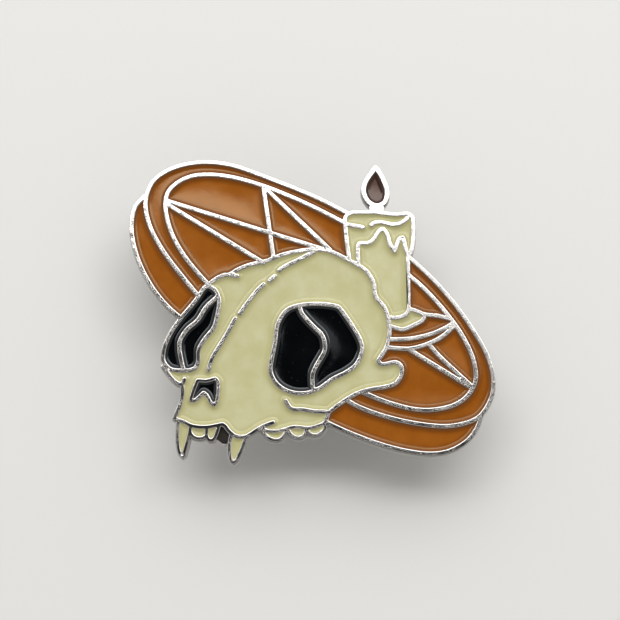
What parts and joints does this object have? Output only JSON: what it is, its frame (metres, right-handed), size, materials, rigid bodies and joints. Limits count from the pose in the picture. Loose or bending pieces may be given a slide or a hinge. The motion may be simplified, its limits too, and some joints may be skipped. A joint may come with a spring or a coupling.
{
  "type": "enamel pin",
  "caption": "Soft-enamel lapel pin of an animal skull and a lit candle on a round star board, with two posts and two butterfly clutches.",
  "frame": {"origin": "middle of the plate's outline, at the lowest point of the clutches' wings, on which the pin stands face up", "axes": "+Z out of the enamelled face, +Y towards the design's top (the candle flame's end), +X towards the design's right, along the pin's length"},
  "size_m": [0.0384, 0.0326, 0.0081],
  "materials": {
    "plated_plate": "bright nickel plate, lightly pitted, sand-textured back",
    "enamel_orange": "glossy soft enamel, orange brown",
    "enamel_cream": "glossy soft enamel, cream with a green cast",
    "enamel_black": "glossy soft enamel, black",
    "enamel_brown": "glossy soft enamel, dark brown",
    "post_steel": "nickel-plated, drawn",
    "clutch_metal": "nickel-plated spring brass, pressed"
  },
  "bodies": {
    "pin": {"struck_plate": "plated_plate", "enamel_board_edge_left": "enamel_orange", "enamel_board_edge_below": "enamel_orange", "enamel_board_rim_left": "enamel_orange", "enamel_board_rim_right": "enamel_orange", "enamel_star_arc_top": "enamel_orange", "enamel_star_ray_left": "enamel_orange", "enamel_star_arc_left": "enamel_orange", "enamel_star_sliver": "enamel_orange", "enamel_star_triangle_middle": "enamel_orange", "enamel_star_arc_candle": "enamel_orange", "enamel_star_triangle_candle": "enamel_orange", "enamel_star_ray_puddle": "enamel_orange", "enamel_star_ray_thin": "enamel_orange", "enamel_star_triangle_right": "enamel_orange", "enamel_star_needle": "enamel_orange", "enamel_board_field_below": "enamel_orange", "enamel_skull": "enamel_cream", "enamel_canine_left": "enamel_cream", "enamel_incisor_left": "enamel_cream", "enamel_incisor_right": "enamel_cream", "enamel_canine_right": "enamel_cream", "enamel_molar_front": "enamel_cream", "enamel_molar_middle": "enamel_cream", "enamel_molar_rear": "enamel_cream", "enamel_candle_wax": "enamel_cream", "enamel_candle_body": "enamel_cream", "enamel_candle_puddle": "enamel_cream", "enamel_eye_left_outer": "enamel_black", "enamel_eye_left_inner": "enamel_black", "enamel_eye_right_front": "enamel_black", "enamel_eye_right_rear": "enamel_black", "enamel_nose": "enamel_black", "enamel_flame": "enamel_brown", "post_left": "post_steel", "post_right": "post_steel"},
    "clutch_left": {"clutch_left_disc": "clutch_metal", "clutch_left_bridge": "clutch_metal"},
    "clutch_left_outer": {"clutch_left_wing_outer": "clutch_metal"},
    "clutch_left_inner": {"clutch_left_wing_inner": "clutch_metal"},
    "clutch_right": {"clutch_right_disc": "clutch_metal", "clutch_right_bridge": "clutch_metal"},
    "clutch_right_outer": {"clutch_right_wing_outer": "clutch_metal"},
    "clutch_right_inner": {"clutch_right_wing_inner": "clutch_metal"}
  },
  "joints": [
    {"name": "clutch_left_slide", "type": "slide", "parent": "pin", "child": "clutch_left", "axis": [0, 0, -1], "range_m": [0, 0.005]},
    {"name": "clutch_left_outer_pinch", "type": "hinge", "parent": "clutch_left", "child": "clutch_left_outer", "pos_m": [-0.0099, -0.0003, 0.00385], "axis": [0, -1, 0], "range_deg": [0, 12], "stiffness_Nm_per_rad": 0.01},
    {"name": "clutch_left_inner_pinch", "type": "hinge", "parent": "clutch_left", "child": "clutch_left_inner", "pos_m": [-0.0053, -0.0003, 0.00385], "axis": [0, 1, 0], "range_deg": [0, 12], "stiffness_Nm_per_rad": 0.01},
    {"name": "clutch_right_slide", "type": "slide", "parent": "pin", "child": "clutch_right", "axis": [0, 0, -1], "range_m": [0, 0.005]},
    {"name": "clutch_right_outer_pinch", "type": "hinge", "parent": "clutch_right", "child": "clutch_right_outer", "pos_m": [0.0093, -0.0003, 0.00385], "axis": [0, 1, 0], "range_deg": [0, 12], "stiffness_Nm_per_rad": 0.01},
    {"name": "clutch_right_inner_pinch", "type": "hinge", "parent": "clutch_right", "child": "clutch_right_inner", "pos_m": [0.0047, -0.0003, 0.00385], "axis": [0, -1, 0], "range_deg": [0, 12], "stiffness_Nm_per_rad": 0.01}
  ],
  "couplings": [
    {"joint": "clutch_left_inner_pinch", "follows": "clutch_left_outer_pinch", "ratio": 1},
    {"joint": "clutch_right_inner_pinch", "follows": "clutch_right_outer_pinch", "ratio": 1}
  ]
}
